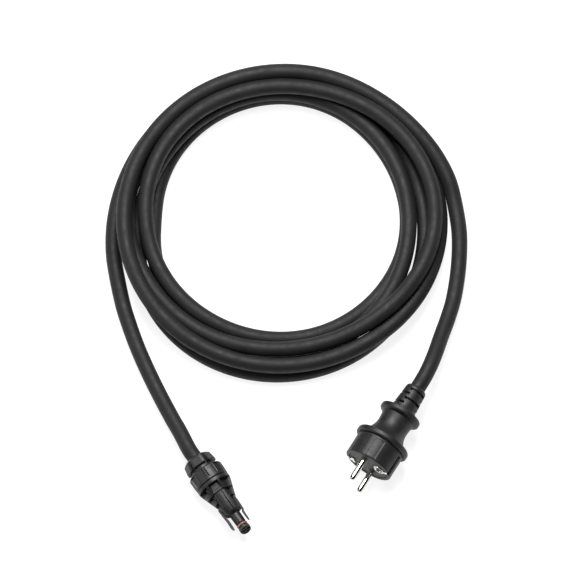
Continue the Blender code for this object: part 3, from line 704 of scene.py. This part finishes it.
def make_nose():
    """The round nose with its ring groove and shoulder, and the keyed tip with a slanting slotted face."""
    outline = [
        (46.5, 2.4), (46.5, 5.3), (52.2, 5.3, 0.4), (53.2, 4.25, 0.4), (61.6, NOSE_RADIUS, 0.2),
        (61.8, 3.0), (64.4, 3.0), (64.6, 4.3, 0.2), (65.0, 4.3), (65.0, 2.4),
    ]
    shown(
        turned("nose_shell", outline, CONNECTOR, None, 96, step=0.5),
        "nose_shell", "connector_plastic", BODY, ["nose_tube"],
    )
    ring = [
        (63.1 + RING_THICKNESS / 2 * math.cos(t), TIP_RADIUS - RING_THICKNESS / 2 * (1 - math.sin(t)))
        for t in np.linspace(0, 2 * math.pi, 16, endpoint=False)
    ]
    shown(
        turned("seal_ring", ring, CONNECTOR, None, 96, step=0.5),
        "seal_ring", "red_silicone", BODY, ["nose_o_ring"],
    )
    make_tip()


def tip_face(z):
    """How far out the slanting face of the tip lies at a height."""
    return 67.9 - 0.38 * z


def make_tip():
    """The keyed tip: a round cup cut on a slant, a near-black disc on its floor as painted shade for its
    slots, and two bars across its mouth.
    """
    facets = 96
    angle = np.radians(np.arange(facets) * 360 / facets)
    rings = []
    for radius, share, back in (
        (TIP_RADIUS - 0.15, 0.0, 0), (TIP_RADIUS, 0.08, 0), (TIP_RADIUS, 0.9, 0),
        (TIP_RADIUS - 0.12, 0.98, 0),
        (TIP_RADIUS - 0.4, 1.0, 0), (TIP_RADIUS - 0.75, 1.0, 0), (TIP_RADIUS - 0.85, 1.0, 0.2),
        (TIP_RADIUS - 0.85, 1.0, 2.3),
    ):
        z = np.cos(angle) * radius
        x = TIP_START + (tip_face(z) - TIP_START) * share - back
        rings.append(np.stack([x, np.sin(angle) * radius, z], axis=1))
    faces = []
    for i in range(len(rings) - 1):
        for k in range(facets):
            j = (k + 1) % facets
            faces.append((i * facets + k, i * facets + j, (i + 1) * facets + j, (i + 1) * facets + k))
    faces.append(tuple(range(facets)))
    faces.append(tuple((len(rings) - 1) * facets + k for k in reversed(range(facets))))
    mesh = mesh_of("tip_cup", np.concatenate(rings), faces, CONNECTOR)
    shown(mesh, "tip_cup", "face_plastic", BODY, ["keyed_insert"])
    # A near-black disc just in front of the cup's grey bottom: painted shade that makes the slots between the
    # bars read dark and deep.
    floor_radius = TIP_RADIUS - 0.9
    near, far = (
        [(tip_face(floor_radius * math.cos(t)) - back, floor_radius * math.sin(t), floor_radius * math.cos(t))
         for t in angle]
        for back in (2.25, 2.1)
    )
    shown(bridged("tip_shade_disc", near, far, CONNECTOR), "tip_shade_disc", "insert_plastic")
    for number, middle in enumerate((1.2, -1.2)):
        half = math.sqrt(floor_radius**2 - middle**2)
        corners = (
            (-half, middle - TIP_BAR_HALF), (-half, middle + TIP_BAR_HALF),
            (half, middle + TIP_BAR_HALF), (half, middle - TIP_BAR_HALF),
        )
        near, far = ([(tip_face(z) - back, y, z) for y, z in corners] for back in (1.2, 0.05))
        name = f"tip_bar_{number + 1}"
        softened(shown(bridged(name, near, far, CONNECTOR), name, "face_plastic"), 0.08 * MM, 2)


# ---- the plug -----------------------------------------------------------------------------

PIN_OFFSET = 9.5
EARTH_OFFSET = 10.0
SPRING_HALF_WIDTH = 1.25
FOOT_HALF_WIDTH = 3.2

def make_boot():
    """The tapered strain relief with staggered slots, rounded at its mouth and stepped at its base."""
    outline = [
        (0.0, 6.1, 0.2), (0.0, 7.3, 0.6), (1.2, 8.15, 0.8), (19.4, 9.6, 0.2), (19.7, 10.1, 0.2),
        (21.3, 10.3, 0.2), (21.3, 7.9), (26.3, 7.9), (26.3, 6.1),
    ]

    def relief(x, r, a):
        change = np.zeros_like(x)
        for number in range(4):
            start = 3.5 + 4.2 * number
            middle, width = (55, 108) if number % 2 == 0 else (-41, 100)
            for turn in (0, 180):
                change -= (r - 6.3) * band(x, start, start + 1.6, 0.3) * sector(a, middle + turn, width, 6)
        return change * eased(r, 7.9, 8.1) * eased(x, 2.0, 2.4)

    shown(
        turned("boot_shell", outline, PLUG, relief, 180, step=0.3),
        "boot_shell", "plug_rubber", BODY, ["plug_strain_relief"],
    )


def plug_relief(x, r, a):
    """The front's recessed panels, and the slot for the earth clip on each side."""
    front = eased(r, 17.2, 17.6) * eased(x, 53.0, 53.3)
    change = np.zeros_like(x)
    for middle, width in ((-17.5, 31), (22.5, 23), (162.5, 31), (202.5, 23)):
        change -= 0.3 * band(x, 55.0, 70.4, 0.2) * sector(a, middle, width, 1.4)
    for middle in (90, 270):
        change -= 2.9 * eased(x, 55.4, 55.7) * sector(a, middle, 9.5, 1.2)
    return change * front


def make_plug_body():
    """Rear ring, rounded flange, concave waist, collar and front, one rubber moulding."""
    waist = []
    for share in np.linspace(0, 1, 15):
        drop = math.sin(math.pi * min(share * 1.15, 1.0)) * 0.75
        rise = max(0.0, share - 0.4) ** 2 * 9.6
        waist.append((27.8 + (47.6 - 27.8) * share, 12.9 - drop + rise))
    outline = [
        (21.5, 8.2), (21.5, 10.9, 0.2), (22.0, 11.4, 0.3), (22.2, 14.6, 0.5), (22.8, 16.35, 1.3),
        (26.1, 16.35, 1.3), (27.2, 14.6, 0.8), (27.5, 13.2, 0.4), *waist,
        (47.9, 20.2, 0.5), (48.8, 21.45, 1.0), (51.9, 21.45, 1.0), (52.8, 20.6, 0.4),
        (52.8, 18.7), (53.3, 18.7), (53.4, 19.1, 0.2), (70.9, 19.1, 0.5), (71.4, 18.5, 0.3),
        (71.4, 16.2, 0.2), (70.9, 16.15), (54.2, 16.15), (54.2, 11.6), (44.4, 11.6),
        (35.0, 4.6), (26.9, 4.6), (26.7, 8.2),
    ]
    shown(
        turned("plug_shell", outline, PLUG, plug_relief, 288, step=0.4),
        "plug_shell", "plug_rubber", BODY, ["plug_body"],
    )


def carved(mesh, cutters):
    """The mesh with the cutters' solids taken out of it."""
    base = bpy.data.objects.new("carved_base", mesh)
    bpy.context.scene.collection.objects.link(base)
    tools = []
    for cutter in cutters:
        tool = bpy.data.objects.new("carving_tool", cutter)
        bpy.context.scene.collection.objects.link(tool)
        tools.append(tool)
        step = base.modifiers.new("carve", "BOOLEAN")
        step.operation = "DIFFERENCE"
        step.solver = "EXACT"
        step.object = tool
    graph = bpy.context.evaluated_depsgraph_get()
    result = bpy.data.meshes.new_from_object(base.evaluated_get(graph))
    for helper in [base, *tools]:
        bpy.data.objects.remove(helper)
    result.name = mesh.name + "_carved"
    result.shade_smooth()
    result.set_sharp_from_angle(angle=math.radians(35))
    return result


def make_face():
    """The grey insert: a rim, holes for the pins with low bosses, and the earth hole."""
    outline = [
        (57.2, 14.0), (57.2, 15.9), (70.7, 15.9, 0.3), (71.2, 15.5, 0.2), (71.2, 14.9, 0.2),
        (70.9, 14.6, 0.2), (70.9, 0.5),
    ]
    disc = turned("face_disc", outline, PLUG, None, 144, closed=False, step=1.2)
    cutters = []
    for at, radius in (((0.0, PIN_OFFSET), 2.55), ((0.0, -PIN_OFFSET), 2.55), ((EARTH_OFFSET, 0.0), 4.85)):
        rod = [(56.0, radius), (73.0, radius)]
        cutters.append(turned("face_hole", rod, PLUG, None, 48, closed=False, step=20.0, at=at))
    shown(carved(disc, cutters), "face_plate", "face_plastic", BODY, ["pin_bridge"])
    for name, side in (("pin_boss_one", 1), ("pin_boss_two", -1)):
        ring = [(70.6, 2.5), (71.15, 2.5, 0.1), (71.15, 3.7, 0.2), (70.6, 3.9)]
        mesh = turned(name, ring, PLUG, None, 64, step=0.4, at=(0.0, side * PIN_OFFSET))
        shown(mesh, name, "face_plastic")


def make_earth_parts():
    """The rolled earth socket in its hole, and a folded spring in the slot on each side."""
    outline = [
        (60.0, 2.9), (60.0, 4.7), (71.0, 4.7, 0.3), (71.75, 4.3, 0.3), (71.75, 3.5, 0.4), (70.6, 2.9, 0.3),
    ]
    shown(
        turned("earth_ring", outline, PLUG, None, 72, step=0.5, at=(EARTH_OFFSET, 0.0)),
        "earth_ring", "nickel", BODY, ["earth_socket"],
    )
    base = [(60.2, 0.4), (60.2, 2.85), (60.6, 2.85), (60.6, 0.4)]
    shown(
        turned("earth_hole_floor", base, PLUG, None, 48, step=1.0, at=(EARTH_OFFSET, 0.0)),
        "earth_hole_floor", "insert_plastic",
    )
    for name, side, near, node in (
        ("earth_spring_one", 1, 14.2, "earth_clip_right"), ("earth_spring_two", -1, 12.2, "earth_clip_left"),
    ):
        strip = [
            (55.8, 16.6), (70.7, 16.6), (71.3, 16.2), (71.3, near), (71.9, near),
            (71.9, 16.4), (71.2, 17.2), (60.0, 17.3), (55.8, 16.9),
        ]
        outline = [(x, side * y) for x, y in strip]
        spring = shown(prism(name, outline, SPRING_HALF_WIDTH, PLUG), name, "nickel", BODY, [node])
        softened(spring, 0.12 * MM)
    foot = [(71.25, -14.3), (71.25, -12.1), (71.95, -12.1), (71.95, -14.3)]
    mesh = prism("earth_foot", foot, FOOT_HALF_WIDTH, PLUG)
    softened(shown(mesh, "earth_foot", "nickel"), 0.15 * MM)


def make_pins():
    """Two round nickel pins: a shoulder at the face, a drawn shank and a domed tip."""
    for name, side, node in (("pin_one", 1, "plug_pin_line"), ("pin_two", -1, "plug_pin_neutral")):
        outline = [
            (51.0, 1.6), (55.2, 1.8), (55.2, 3.3), (56.8, 3.3), (56.8, 2.4), (71.0, 2.4),
            (88.2, 2.4, 0.8), (89.6, 2.1, 0.7), (90.3, 1.3, 0.4), (90.4, 0.5),
        ]
        mesh = turned(name, outline, PLUG, None, 64, closed=False, step=0.8, at=(0.0, side * PIN_OFFSET))
        shown(mesh, name, "nickel", BODY, [node])


# ---- stage -------------------------------------------------------------------------------


FLOOR_REACH = 6.0
FLOOR_DROP = 0.0004
FLOOR_GLOW = 0.86  # keeps the floor nearly white, with hardly a shadow
CAMERA_ELEVATION = 69
CAMERA_DISTANCE = 20.0
CAMERA_LENS = 1684.2


def make_stage():
    """A plain pale floor, a soft sky and two softboxes."""
    floor_mesh = bpy.data.meshes.new("floor")
    signs = ((-1, -1), (1, -1), (1, 1), (-1, 1))
    corners = [(x * FLOOR_REACH, y * FLOOR_REACH, -FLOOR_DROP) for x, y in signs]
    floor_mesh.from_pydata(corners, [], [(0, 1, 2, 3)])
    floor = bpy.data.objects.new("floor", floor_mesh)
    bpy.context.scene.collection.objects.link(floor)
    paper = Finish("floor_paper", (0.3, 0.3, 0.3), 0.8, specular=0.1)
    paper.colour(paper.mix(paper.noise(0.4, 2.0), (0.29, 0.29, 0.29), (0.31, 0.31, 0.31)))
    paper.bump(paper.noise(0.002, 2.0), 0.00002, 0.2)
    paper.shader.inputs["Emission Color"].default_value = (1, 1, 1, 1)
    paper.shader.inputs["Emission Strength"].default_value = FLOOR_GLOW
    floor_mesh.materials.append(paper.material)

    scene = bpy.context.scene
    scene.view_settings.view_transform = "Standard"
    world = bpy.data.worlds.new("studio")
    scene.world = world
    world.use_nodes = True
    nodes = world.node_tree.nodes
    background = nodes["Background"]
    up = nodes.new("ShaderNodeSeparateXYZ")
    sky = nodes.new("ShaderNodeMapRange")
    world.node_tree.links.new(nodes.new("ShaderNodeTexCoord").outputs["Generated"], up.inputs["Vector"])
    world.node_tree.links.new(up.outputs["Z"], sky.inputs["Value"])
    sky.inputs["From Min"].default_value = 0.3
    sky.inputs["From Max"].default_value = 0.95
    sky.inputs["To Min"].default_value = 0.05
    sky.inputs["To Max"].default_value = 0.6
    world.node_tree.links.new(sky.outputs["Result"], background.inputs["Strength"])

    def softbox(name, place, aim, size, power):
        light = bpy.data.lights.new(name, "AREA")
        light.shape = "RECTANGLE"
        light.size = size[0]
        light.size_y = size[1]
        light.energy = power
        lamp = bpy.data.objects.new(name, light)
        scene.collection.objects.link(lamp)
        lamp.location = place
        lamp.rotation_euler = (Vector(aim) - Vector(place)).to_track_quat("-Z", "Y").to_euler()

    softbox("key_softbox", (-0.1, 0.75, 1.65), (0, 0.13, 0), (0.9, 1.3), 50.0)
    softbox("side_softbox", (-1.3, -0.2, 0.9), (0, 0.13, 0), (0.9, 0.7), 5.0)


def make_camera():
    """A long lens, looking down at the middle of the lead from in front."""
    lens_data = bpy.data.cameras.new("camera")
    lens_data.sensor_width = 36.0
    lens_data.lens = CAMERA_LENS
    lens_data.clip_start = 0.1
    lens_data.clip_end = 60.0
    camera = bpy.data.objects.new("camera", lens_data)
    bpy.context.scene.collection.objects.link(camera)
    elevation = math.radians(CAMERA_ELEVATION)
    back = Vector((0, -math.cos(elevation), math.sin(elevation)))
    camera.location = Vector((-0.0151, 0.1455, 0.0)) + CAMERA_DISTANCE * back
    camera.rotation_euler = (-back).to_track_quat("-Z", "Y").to_euler()
    bpy.context.scene.camera = camera


dress_cad()
make_cable()
make_gland_nut()
make_housing()
make_sleeve()
make_arms()
make_nose()
make_boot()
make_plug_body()
make_face()
make_pins()
make_earth_parts()
make_stage()
make_camera()
